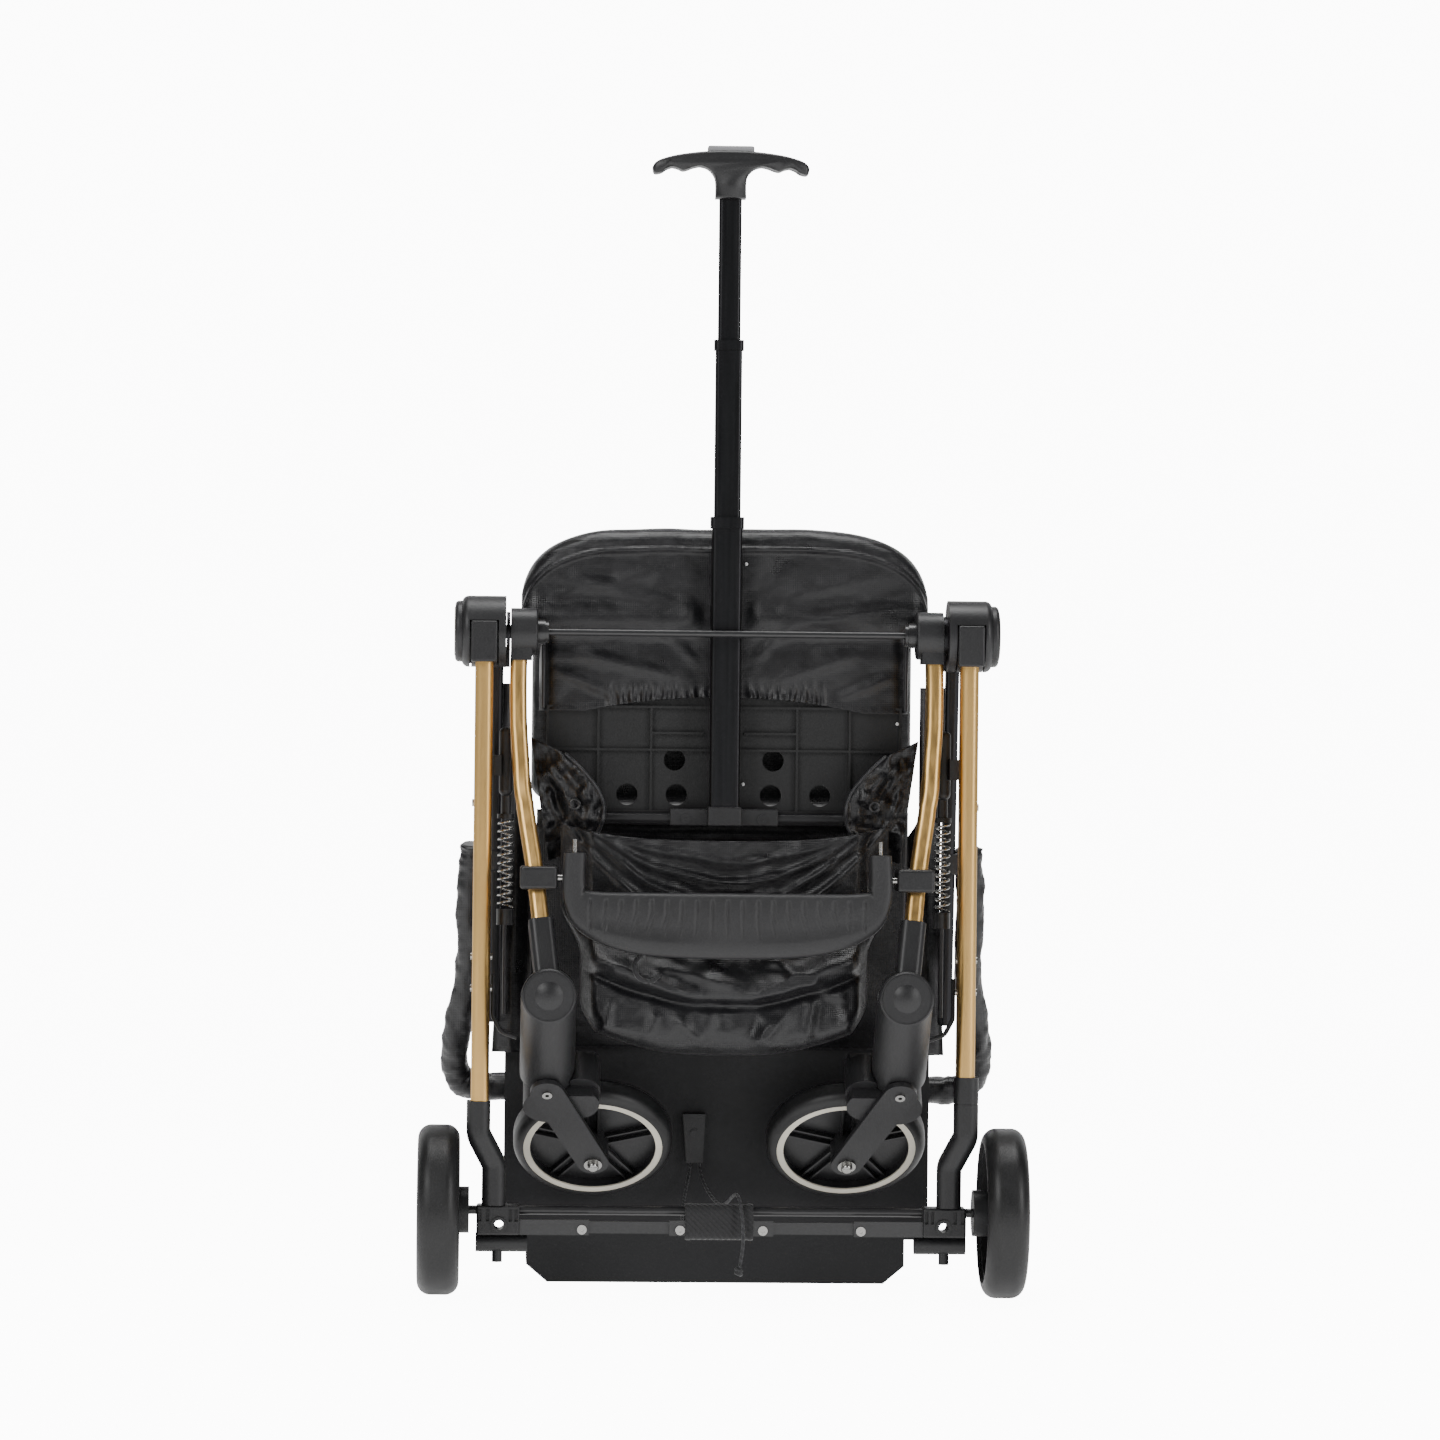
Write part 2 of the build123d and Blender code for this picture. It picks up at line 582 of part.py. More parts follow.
def main():
    os.makedirs("parts", exist_ok=True)
    save("rear_leg_left", rear_leg(LEG_FOOT["left"]))
    save("rear_leg_right", other_side(rear_leg(LEG_FOOT["right"])))
    save_pair("hub_housing", hub_housing())
    cap, trim = hub_cap()
    save("hub_caps", cap, other_side(cap))
    save("hub_trim_rings", trim, other_side(trim))
    pin = disc(PIN_R, -231, -174, 0, HUB_Z)
    save("pivot_pins", pin, other_side(pin))
    foot = LEG_FOOT["left"]
    save("rear_elbows", rear_elbow(foot, foot), other_side(rear_elbow(foot, LEG_FOOT["right"])))
    save("axle_brackets", axle_bracket(), other_side(axle_bracket()))
    save("rear_axle", disc(AXLE_R, -262, 262, 0, REAR_R))
    save("axle_tie_bar", *tie_bar())
    save("frame_screws", *frame_screws())
    save("base_board", base_board())
    save("lock_shrouds", lock_shroud(), other_side(lock_shroud()))
    save_pair("lock_spring", lock_spring())
    save_pair("lock_rod", lock_rod())
    save("lock_cables", lock_cable(), other_side(lock_cable()))
    rear_tyre, rear_rim = rear_wheel()
    save_pair("rear_tyre", rear_tyre)
    save_pair("rear_rim", rear_rim)
    front_tyre, front_rim, trims = front_wheel()
    save_pair("front_tyre", front_tyre)
    save_pair("front_rim", front_rim)
    save("front_trim_left", *trims)
    save("front_trim_right", *[other_side(item) for item in trims])
    save_pair("fork", fork())
    save("caster_bolts_left", *caster_bolts())
    save("caster_bolts_right", *[other_side(item) for item in caster_bolts()])
    save_pair("front_leg", front_leg())
    save("front_collars", front_collar(), other_side(front_collar()))
    save("cross_rod", disc(3, -167, 167, 0, HUB_Z))
    save("cross_rod_fasteners", *cross_rod_fasteners())
    save("leg_clamps", leg_clamp(), other_side(leg_clamp()))
    save_pair("swivel_housing", swivel_housing())
    save("footwell", footwell())
    save("bumper_bar", bumper_bar())
    save("bumper_pins", *bumper_pins())
    save("seat_plate", seat_plate())
    save("seat_pad", seat_pad())
    save("seat_cross", *seat_cross())
    save("trolley_outer", trolley_outer())
    save("trolley_mid", trolley_mid())
    save("trolley_upper", trolley_upper())
    save("trolley_grip", grip())
    save("grip_button", grip_button())
    save("backrest", backrest())
    save("cabin_panel", cabin_panel())
    save("handle_tubes", handle_tube(), other_side(handle_tube()))
    save("handle_bow", handle_bow())
    save("handle_knob", handle_knob())
    save("pull_clip", *pull_clip())
    save("pull_cord", pull_cord())
    save("webbing_tab", webbing_tab())


main()
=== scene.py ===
"""Looks of a travel pet stroller, folded and standing on its rear wheels and base board.

Metres, in the row's frame: X across, -Y the side with the swivel wheels, +Z up.
Functions that take millimetres use the drawing's frame, whose y = 0 is the main hinge axis.
"""
import json
import math

import bmesh
import bpy
import numpy as np
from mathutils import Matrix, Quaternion, Vector, noise


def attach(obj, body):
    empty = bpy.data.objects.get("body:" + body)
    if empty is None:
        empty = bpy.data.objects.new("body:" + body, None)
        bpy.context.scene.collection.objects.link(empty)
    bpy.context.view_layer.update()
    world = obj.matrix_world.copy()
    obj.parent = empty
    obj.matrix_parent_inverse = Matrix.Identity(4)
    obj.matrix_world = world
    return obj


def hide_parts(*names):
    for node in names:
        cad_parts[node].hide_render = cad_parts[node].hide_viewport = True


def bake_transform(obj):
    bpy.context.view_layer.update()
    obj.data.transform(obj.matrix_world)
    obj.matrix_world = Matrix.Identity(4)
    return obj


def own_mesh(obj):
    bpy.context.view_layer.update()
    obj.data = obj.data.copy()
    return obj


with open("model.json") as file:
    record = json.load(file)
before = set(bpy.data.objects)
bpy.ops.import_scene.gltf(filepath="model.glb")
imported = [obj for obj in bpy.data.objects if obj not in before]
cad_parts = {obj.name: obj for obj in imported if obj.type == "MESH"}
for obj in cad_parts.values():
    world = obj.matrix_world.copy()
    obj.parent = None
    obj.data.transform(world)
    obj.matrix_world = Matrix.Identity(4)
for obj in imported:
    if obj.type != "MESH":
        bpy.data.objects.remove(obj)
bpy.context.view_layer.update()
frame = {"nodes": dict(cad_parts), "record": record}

HINGE_Y = -45.0  # the main hinge axis in the row's frame, in millimetres


def mm(x, y, z):
    """A point of the drawing's frame in metres of the row's frame."""
    return Vector((x, y + HINGE_Y, z)) / 1000


# Materials

def new_material(name, colour, roughness, metallic=0.0, specular=0.5):
    """Principled material with its constant values set on the shader's own sockets."""
    material = bpy.data.materials.new(name)
    material.use_nodes = True
    shader = material.node_tree.nodes["Principled BSDF"]
    shader.inputs["Base Color"].default_value = (*colour, 1)
    shader.inputs["Roughness"].default_value = roughness
    shader.inputs["Metallic"].default_value = metallic
    shader.inputs["Specular IOR Level"].default_value = specular
    return material, material.node_tree, shader


def coordinates(tree, stretch=(1, 1, 1)):
    """Object coordinates in metres, stretched along the axes."""
    source = tree.nodes.new("ShaderNodeTexCoord")
    mapping = tree.nodes.new("ShaderNodeMapping")
    mapping.inputs["Scale"].default_value = stretch
    tree.links.new(source.outputs["Object"], mapping.inputs["Vector"])
    return mapping.outputs["Vector"]


def noise_of(tree, scale, detail=3.0, stretch=(1, 1, 1)):
    texture = tree.nodes.new("ShaderNodeTexNoise")
    texture.inputs["Scale"].default_value = scale
    texture.inputs["Detail"].default_value = detail
    tree.links.new(coordinates(tree, stretch), texture.inputs["Vector"])
    return texture.outputs["Fac"]


def wave_of(tree, scale, direction, distortion=0.0):
    texture = tree.nodes.new("ShaderNodeTexWave")
    texture.bands_direction = direction
    texture.inputs["Scale"].default_value = scale
    texture.inputs["Distortion"].default_value = distortion
    tree.links.new(coordinates(tree), texture.inputs["Vector"])
    return texture.outputs["Fac"]


def combined(tree, operation, first, second):
    node = tree.nodes.new("ShaderNodeMath")
    node.operation = operation
    for socket, value in zip(node.inputs, (first, second)):
        if isinstance(value, float):
            socket.default_value = value
        else:
            tree.links.new(value, socket)
    return node.outputs["Value"]


def between(tree, factor, low, high):
    """A value that runs from low to high with the factor."""
    node = tree.nodes.new("ShaderNodeMapRange")
    node.inputs["From Min"].default_value = 0.3
    node.inputs["From Max"].default_value = 0.7
    node.inputs["To Min"].default_value = low
    node.inputs["To Max"].default_value = high
    tree.links.new(factor, node.inputs["Value"])
    return node.outputs["Result"]


def tinted(tree, shader, factor, dark, light):
    """Base colour that varies between two tones."""
    ramp = tree.nodes.new("ShaderNodeValToRGB")
    ramp.color_ramp.elements[0].position = 0.3
    ramp.color_ramp.elements[1].position = 0.7
    ramp.color_ramp.elements[0].color = (*dark, 1)
    ramp.color_ramp.elements[1].color = (*light, 1)
    tree.links.new(factor, ramp.inputs["Fac"])
    tree.links.new(ramp.outputs["Color"], shader.inputs["Base Color"])


def bumped(tree, shader, height, depth, strength=1.0):
    bump = tree.nodes.new("ShaderNodeBump")
    bump.inputs["Strength"].default_value = strength
    bump.inputs["Distance"].default_value = depth
    tree.links.new(height, bump.inputs["Height"])
    tree.links.new(bump.outputs["Normal"], shader.inputs["Normal"])


def scaled(colour, factor):
    return tuple(channel * factor for channel in colour)


def moulded(name, colour, roughness, grain=900.0, depth=0.00012):
    """Moulded plastic with a spark-eroded grain and slightly uneven gloss."""
    material, tree, shader = new_material(name, colour, roughness)
    fine = noise_of(tree, grain, 2.0)
    broad = noise_of(tree, 14.0, 4.0)
    tinted(tree, shader, broad, scaled(colour, 0.86), scaled(colour, 1.16))
    tree.links.new(between(tree, broad, roughness - 0.05, roughness + 0.06), shader.inputs["Roughness"])
    bumped(tree, shader, fine, depth)
    return material


def anodised(name, colour, roughness):
    """Anodised aluminium: drawn lines along the tube and a fine matte grain."""
    material, tree, shader = new_material(name, colour, roughness, metallic=1.0)
    drawn = noise_of(tree, 260.0, 2.0, (1, 1, 0.03))
    grain = noise_of(tree, 2200.0, 1.0)
    tinted(tree, shader, drawn, scaled(colour, 0.93), scaled(colour, 1.05))
    tree.links.new(between(tree, drawn, roughness - 0.04, roughness + 0.05), shader.inputs["Roughness"])
    bumped(tree, shader, combined(tree, "ADD", drawn, grain), 0.00004)
    return material


def metal(name, colour, roughness):
    """Plated or painted steel with faint handling marks."""
    material, tree, shader = new_material(name, colour, roughness, metallic=1.0)
    marks = noise_of(tree, 420.0, 4.0)
    tree.links.new(between(tree, marks, roughness * 0.8, roughness * 1.3), shader.inputs["Roughness"])
    tinted(tree, shader, marks, scaled(colour, 0.9), colour)
    bumped(tree, shader, marks, 0.00003)
    return material


def painted(name, colour, roughness):
    material, tree, shader = new_material(name, colour, roughness)
    shader.inputs["Coat Weight"].default_value = 0.25
    shader.inputs["Coat Roughness"].default_value = 0.2
    peel = noise_of(tree, 380.0, 2.0)
    tinted(tree, shader, peel, scaled(colour, 0.9), scaled(colour, 1.1))
    bumped(tree, shader, peel, 0.00006)
    return material


def rubber(name, colour, roughness):
    """Foamed tyre rubber: pores and dull scuffs."""
    material, tree, shader = new_material(name, colour, roughness, specular=0.45)
    pores = tree.nodes.new("ShaderNodeTexVoronoi")
    pores.inputs["Scale"].default_value = 1100.0
    tree.links.new(coordinates(tree), pores.inputs["Vector"])
    scuffs = noise_of(tree, 45.0, 6.0)
    tinted(tree, shader, scuffs, scaled(colour, 0.85), scaled(colour, 1.25))
    tree.links.new(between(tree, scuffs, roughness - 0.06, roughness + 0.08), shader.inputs["Roughness"])
    bumped(tree, shader, pores.outputs["Distance"], 0.00008)
    return material


def nylon(name, colour, roughness, pitch=0.0008):
    """Coated nylon: a plain weave, soft sheen and small creases, with painted shade in the crease hollows
    and a painted highlight on their crests.
    """
    material, tree, shader = new_material(name, colour, roughness)
    shader.inputs["Sheen Weight"].default_value = 0.05
    shader.inputs["Sheen Roughness"].default_value = 0.4
    per_metre = 1 / pitch / 20 * math.pi
    warp = wave_of(tree, per_metre, "X", 0.3)
    weft = wave_of(tree, per_metre, "Z", 0.3)
    weave = combined(tree, "MAXIMUM", warp, weft)
    creases_and_painted_shade = noise_of(tree, 30.0, 5.0, (1, 1, 1.5))
    sharp = noise_of(tree, 17.0, 1.5, (1.3, 1, 0.8))
    sharp.node.noise_type = "RIDGED_MULTIFRACTAL"
    # The creases' noise also sets the colour: painted shade in the hollows, painted highlight on the
    # crests.
    tinted(tree, shader, creases_and_painted_shade, scaled(colour, 0.8), scaled(colour, 1.3))
    tree.links.new(between(tree, creases_and_painted_shade, roughness - 0.07, roughness + 0.07), shader.inputs["Roughness"])
    folds = combined(tree, "ADD", combined(tree, "MULTIPLY", sharp, 0.9), creases_and_painted_shade)
    height = combined(tree, "ADD", combined(tree, "MULTIPLY", weave, 0.06), folds)
    bumped(tree, shader, height, 0.0022)
    return material


def woven_strap(name, colour, pitch=0.0022):
    """Webbing or braid: coarse diagonal ribs."""
    material, tree, shader = new_material(name, colour, 0.7)
    shader.inputs["Sheen Weight"].default_value = 0.2
    ribs = wave_of(tree, 1 / pitch / 20 * math.pi, "DIAGONAL", 0.6)
    tinted(tree, shader, ribs, scaled(colour, 0.7), scaled(colour, 1.3))
    bumped(tree, shader, ribs, 0.0004)
    return material


BLACK = (0.017, 0.017, 0.018)
GOLD = (0.72, 0.455, 0.165)
looks = {
    "gold_tube": anodised("gold_anodised", GOLD, 0.36),
    "black_plastic": moulded("black_moulding", (0.011, 0.011, 0.012), 0.42),
    "black_steel": painted("black_paint", BLACK, 0.34),
    "bright_steel": metal("bright_plating", (0.42, 0.415, 0.40), 0.22),
    "tyre": rubber("tyre_rubber", (0.009, 0.009, 0.0095), 0.42),
    "trim": moulded("pearl_trim", (0.62, 0.585, 0.49), 0.24, 300.0, 0.00003),
    "fabric": nylon("coated_nylon", (0.0042, 0.0042, 0.0052), 0.34),
    "black_tube": anodised("black_anodised", (0.030, 0.030, 0.032), 0.36),
    "button": moulded("grey_button", (0.33, 0.33, 0.34), 0.4),
    "cord": woven_strap("braided_cord", (0.018, 0.018, 0.020), 0.0016),
    "foam": moulded("foam_cover", (0.014, 0.014, 0.015), 0.5, 650.0, 0.0002),
    "board": moulded("stiff_board", (0.0045, 0.0045, 0.0058), 0.6, 500.0),
}
strap_look = woven_strap("webbing", (0.006, 0.006, 0.007), 0.0013)
piping_look = nylon("piping", (0.013, 0.013, 0.015), 0.36, 0.0006)
button_rivet = moulded("pale_rivet", (0.6, 0.6, 0.6), 0.3, 300.0, 0.00003)


def dress(node, material):
    """Gives a CAD node its material, without touching its mesh."""
    frame["nodes"][node].data.materials.clear()
    frame["nodes"][node].data.materials.append(material)


for part in frame["record"]["subparts"]:
    dress(part["node"], looks[part["material_slot"]])
# The seat plate gets a darker copy of the black moulding: painted shade, for a plate that sits in shade.
dress("seat_plate", moulded("seat_plate_painted_shade", (0.003, 0.003, 0.0034), 0.55))


# Mesh helpers

def mesh_object(name, points, faces, material):
    """Smooth mesh from points of the row's frame."""
    mesh = bpy.data.meshes.new(name)
    mesh.from_pydata([tuple(point) for point in points], [], faces)
    body = bmesh.new()
    body.from_mesh(mesh)
    bmesh.ops.recalc_face_normals(body, faces=body.faces)
    body.to_mesh(mesh)
    body.free()
    mesh.materials.append(material)
    for polygon in mesh.polygons:
        polygon.use_smooth = True
    piece = bpy.data.objects.new(name, mesh)
    bpy.context.scene.collection.objects.link(piece)
    return piece


def grid_faces(rows, columns, wrap=False, start=0):
    faces = []
    last = columns if wrap else columns - 1
    for row in range(rows - 1):
        for column in range(last):
            after = (column + 1) % columns
            low, high = start + row * columns, start + (row + 1) * columns
            faces.append((low + column, low + after, high + after, high + column))
    return faces


def loft(name, sections, material):
    """Closed tube through equal loops of points, with capped ends."""
    count = len(sections[0])
    points = [point for section in sections for point in section]
    faces = grid_faces(len(sections), count, wrap=True)
    faces.append(tuple(range(count))[::-1])
    faces.append(tuple(len(points) - count + index for index in range(count)))
    return mesh_object(name, points, faces, material)


def shell(name, columns, rows, front, back, material):
    """Closed form between a front and a back surface that share their outline.

    front(u, v) and back(u, v) give points for u from -1 to 1 and v from 0 to 1.
    """
    points, faces = [], []
    for surface in (front, back):
        for row in range(rows):
            for column in range(columns):
                points.append(surface(2 * column / (columns - 1) - 1, row / (rows - 1)))
    size = rows * columns
    faces.extend(grid_faces(rows, columns))
    faces.extend(tuple(reversed(face)) for face in grid_faces(rows, columns, start=size))
    border = list(range(columns))
    border += [row * columns + columns - 1 for row in range(1, rows)]
    border += [(rows - 1) * columns + column for column in range(columns - 2, -1, -1)]
    border += [row * columns for row in range(rows - 2, 0, -1)]
    for first, second in zip(border, border[1:] + border[:1]):
        faces.append((second, first, first + size, second + size))
    return mesh_object(name, points, faces, material)


def cloth(name, columns, rows, place, half_thickness):
    """Thin sheet of fabric about the surface place(u, v, offset)."""
    def near(u, v):
        return place(u, v, -half_thickness)

    def far(u, v):
        return place(u, v, half_thickness)

    return shell(name, columns, rows, near, far, looks["fabric"])


def step_up(value, low, high):
    """0 below low, 1 above high and smooth between."""
    share = min(1.0, max(0.0, (value - low) / (high - low)))
    return share * share * (3 - 2 * share)


def ridge(distance, width):
    return math.exp(-(distance / width) ** 2)


def ridge_between(x, z, start, end, width):
    """A fold's height at (x, z): a rounded ridge from start to end that fades at both ends."""
    across, up = end[0] - start[0], end[1] - start[1]
    length = math.hypot(across, up)
    along = ((x - start[0]) * across + (z - start[1]) * up) / length ** 2
    away = abs((x - start[0]) * up - (z - start[1]) * across) / length
    if not -0.2 < along < 1.2:
        return 0.0
    fade = step_up(along, -0.2, 0.25) * (1 - step_up(along, 0.75, 1.2))
    return ridge(away, width) * fade


def ripple(x, z, size, seed):
    """Soft unevenness from -1 to 1."""
    return noise.noise(Vector((x / size, seed * 7.3, z / size)))


def angles(count):
    """Equal steps of one turn."""
    return [2 * math.pi * step / count for step in range(count)]


def squared_off(value, power):
    """Sine or cosine raised towards a square profile, with its sign kept."""
    return math.copysign(abs(value) ** power, value)


def rounding(distance, radius):
    """Quarter-round profile from 0 at an edge to 1 at radius inside it."""
    share = min(1.0, max(0.0, distance / radius))
    return math.sqrt(1 - (1 - share) ** 2)


def rounded_route(points, rounds=5):
    """Corner-cut curve: stays inside the corners of a route and keeps its ends."""
    route = [np.array(point, float) for point in points]
    for _ in range(rounds):
        cut = [route[0]]
        for first, second in zip(route, route[1:]):
            cut.extend((0.75 * first + 0.25 * second, 0.25 * first + 0.75 * second))
        route = cut + [route[-1]]
    return [tuple(point) for point in route]


def round_bar(name, route, radius, material, sides=10):
    """Round bar along a smooth route, for piping and hems; route in the drawing's frame."""
    centre = [mm(*point) for point in route]
    sections = []
    for index, point in enumerate(centre):
        ahead = centre[min(index + 1, len(centre) - 1)] - centre[max(index - 1, 0)]
        side = ahead.cross(Vector((0, 1, 0.01))).normalized()
        other = side.cross(ahead).normalized()
        loop = []
        for angle in angles(sides):
            loop.append(point + (side * math.cos(angle) + other * math.sin(angle)) * radius / 1000)
        sections.append(loop)
    return loft(name, sections, material)


def smooth_route(points, count):
    """Points along a Catmull-Rom curve through a few chosen ones."""
    ends = [points[0]] + list(points) + [points[-1]]
    route = []
    for index in range(count):
        place = index / (count - 1) * (len(points) - 1)
        span = min(int(place), len(points) - 2)
        t = place - span
        a, b, c, d = (np.array(ends[span + k], float) for k in range(4))
        value = 0.5 * (2 * b + (c - a) * t + (2 * a - 5 * b + 4 * c - d) * t ** 2
                       + (3 * b - a - 3 * c + d) * t ** 3)
        route.append(tuple(value))
    return route


# Seat cover: wraps the front edge of the seat plate, which stands uppermost

COVER_HEM = 516.0
GATHERS = ((-107, -14), (17, 92))
COVER_SHOULDER, COVER_ARCH = 590, 90
COVER_WAIST, COVER_FLARE = 165, 18
COVER_MID = 59
SEAM_DROP = 19

# Each fold: its start and end as (x, z), its width and its height
COVER_FOLDS = [
    ((-150, 636), (-40, 612), 7, 2.6), ((-160, 618), (-60, 640), 6, 1.8),
    ((150, 640), (44, 618), 8, 2.8), ((160, 612), (70, 596), 6, 2.2),
    ((-130, 566), (-40, 548), 6, 2.6), ((120, 570), (46, 545), 7, 2.6),
    ((-150, 552), (-96, 530), 5, 2.2), ((148, 548), (100, 528), 5, 2.2),
    ((-60, 590), (-24, 560), 5, 1.8), ((60, 592), (26, 566), 5, 1.8),
]


def cover_outline(u, v):
    """Where (u, v) lies: x, z, the height of the top edge and the half width."""
    arch = COVER_ARCH * max(0.0, 1 - abs(u) ** 4.5) ** (1 / 3)
    top = COVER_SHOULDER + arch - 1.6 * ripple(u * 180, 0, 44, 9) * (1 - u * u)
    foot = COVER_HEM + 13 * (1 - min(1.0, abs(u) / 0.75) ** 2)
    z = foot + v * (top - foot)
    half = COVER_WAIST + COVER_FLARE * step_up(z, 578, 608)
    return u * half, z, top, half


def cover_front(u, v):
    """The side that the photograph shows: seam, bulges, folds and the gathered hem."""
    x, z, top, half = cover_outline(u, v)
    edge = min((1 - abs(u)) * half, top - z)
    y = COVER_MID - 20 * rounding(edge, 17)
    free = step_up(abs(x), 17, 34)
    y -= 3.0 * ridge(top - SEAM_DROP - z, 2.6) * rounding(edge, 10)
    y -= 5.5 * ridge(z - 600, 13) * free
    y += 2.0 * ridge(z - 578, 9) * free
    for start, end, width, height in COVER_FOLDS:
        y -= height * ridge_between(x, z, start, end, width) * free
    for low, high in GATHERS:
        inside = step_up(x, low - 4, low + 8) * (1 - step_up(x, high - 8, high + 4))
        fade = ridge(z - COVER_HEM - 11 - 4 * ripple(x, 0, 12, 5), 11)
        y -= 1.7 * inside * fade * math.sin(2 * math.pi * (x + 4.5 * ripple(x, z, 17, 3)) / 9.5)
    y -= 1.8 * ridge(v, 0.03)
    y += 1.6 * ripple(x, z, 34, 1) * free + 0.5 * ripple(x, z, 11, 2) * free
    return mm(x, min(y, COVER_MID), z)


def cover_back(u, v):
    x, z, top, half = cover_outline(u, v)
    edge = min((1 - abs(u)) * half, top - z)
    y = COVER_MID + 22 * rounding(edge, 20) + 0.8 * ripple(x, z, 40, 4) * rounding(edge, 30)
    return mm(x, y, z)


def seat_cover():
    cover = shell("seat_cover", 241, 141, cover_front, cover_back, looks["fabric"])
    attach(cover, "seat")
    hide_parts("seat_pad")
    for side in (-1, 1):
        name = "left" if side < 0 else "right"
        chosen = [(side * 162, 38.4, 577), (side * 161.5, 37.2, 552), (side * 161.5, 38, 518)]
        route = smooth_route(chosen, 30)
        bar = round_bar(f"cover_piping_{name}", route, 1.7, piping_look)
        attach(bar, "seat")


seat_cover()


# Backrest: padded panel with sewn channels, folded flat behind the seat

BACK_CHANNELS = (-92, 0, 92)
BACK_HALF = 171
BACK_FOOT, BACK_TALL = 430, 229
BACK_MID = 105


def back_outline(u, v):
    corner = 1 - 0.16 * max(0.0, (abs(2 * v - 1) - 0.8) / 0.2) ** 3
    return u * BACK_HALF * corner, BACK_FOOT + BACK_TALL * v


def back_edge(u, v):
    """Distance from the panel's border."""
    return min((1 - abs(u)) * BACK_HALF, (0.5 - abs(v - 0.5)) * BACK_TALL)


def back_rear(u, v):
    """The lying surface, with sewn channels, puckers beside them and a border seam."""
    x, z = back_outline(u, v)
    edge = back_edge(u, v)
    y = BACK_MID + 15 * rounding(edge, 26)
    inner = step_up(edge, 14, 40)
    for channel in BACK_CHANNELS:
        y -= 5.5 * ridge(x - channel, 6) * inner
        for step in (-1, 1):
            puckers = math.sin(2 * math.pi * z / 11)
            y -= 0.7 * ridge(x - channel - step * 8, 6) * puckers * inner
    y -= 3.4 * ridge(edge - 13, 3.0)
    y -= 3.2 * ridge(z - 548, 6) * inner
    y += 1.3 * ripple(x, z, 30, 6) * inner
    return mm(x, y, z)


def back_near(u, v):
    x, z = back_outline(u, v)
    edge = back_edge(u, v)
    return mm(x, BACK_MID - 19 * rounding(edge, 22), z)


def padded_backrest():
    panel = shell("backrest_pad", 181, 121, back_near, back_rear, looks["fabric"])
    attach(panel, "backrest")
    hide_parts("backrest")


padded_backrest()


# Footwell: slack fabric between the front legs, with hammock folds above a hanging bag

BAG_HALF = 121.0
BAG_TOP = 402.0
BAG_NEAREST = -52.5

# Each hammock fold: its height in the middle, its rise at the sides and its depth
HAMMOCKS = ((396, 30, 3.2), (384, 46, 4.2), (370, 60, 4.0), (352, 66, 3.0))
BAG_FOLDS = [
    ((-112, 300), (-20, 262), 7, 7.0), ((10, 258), (116, 306), 9, 8.0),
    ((-70, 296), (10, 276), 5, 4.5), ((40, 300), (96, 268), 6, 5.0),
    ((-44, 250), (-20, 224), 7, 4.5), ((52, 250), (24, 222), 6, 4.5),
    ((-60, 252), (-70, 222), 6, 3.2), ((-14, 256), (-20, 216), 8, 3.4),
    ((30, 252), (40, 218), 7, 3.2), ((78, 262), (70, 226), 6, 3.0),
    ((-100, 262), (-108, 232), 5, 2.6), ((100, 276), (108, 238), 5, 2.6),
    ((-90, 318), (-20, 292), 6, 3.2), ((96, 322), (34, 296), 6, 3.0),
]
STRAP_LOOP = [(-72, -50, 306), (-80, -55, 296), (-77, -56.5, 284), (-66, -54, 280), (-58, -50, 286)]


def bag_place(u, v):
    foot = 213 + 20 * abs(u) ** 3
    top = BAG_TOP + 14 * abs(u) ** 3
    z = foot + v * (top - foot)
    half = BAG_HALF + 6 - 22 * (1 - step_up(z, 212, 262)) + 18 * step_up(z, 300, 350)
    return u * half, z


def bag_front(u, v):
    """Slack upper cloth, a lip and the belly of the bag under it."""
    x, z = bag_place(u, v)
    lip = 262 + 38 * (x / 135) ** 2
    y = -10 - 26 * (1 - step_up(z, 286, 352))
    y -= 9 * ridge(z - lip - 9, 15)
    y += 7 * ridge(z - lip + 4 + 3 * ripple(x, 0, 40, 17), 5)
    y -= 9 * ridge(z - 238, 24)
    for low, rise, height in HAMMOCKS:
        sway = 5 * ripple(x, low, 46, 15)
        y -= height * ridge(z - low + rise * 0.4 - rise * (x / BAG_HALF) ** 2 + sway, 4.2)
    for start, end, width, height in BAG_FOLDS:
        y -= height * ridge_between(x, z, start, end, width)
    y -= 4.6 * ripple(x, z, 34, 11) + 1.6 * ripple(x, z, 13, 12)
    y += 12 * step_up(abs(x), 116, 128)
    edge = min((1 - abs(u)) * BAG_HALF, v * 185)
    return mm(x, max(BAG_NEAREST, 2 + (y - 2) * rounding(edge, 16)), z)


def bag_back(u, v):
    x, z = bag_place(u, v)
    return mm(x, 6 + 1.6 * ripple(x, z, 36, 13), z)


def footwell_bag():
    bag = shell("footwell_bag", 221, 161, bag_front, bag_back, looks["fabric"])
    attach(bag, "front_frame")
    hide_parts("footwell")
    strap = round_bar("footwell_strap_loop", smooth_route(STRAP_LOOP, 24), 2.2, strap_look)
    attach(strap, "front_frame")


footwell_bag()


# Cabin wall: a slack sheet from the seat down to the base board

WALL_HALF = 166.0
WALL_TOP, WALL_FOOT = (55, 428), (113.5, 212)


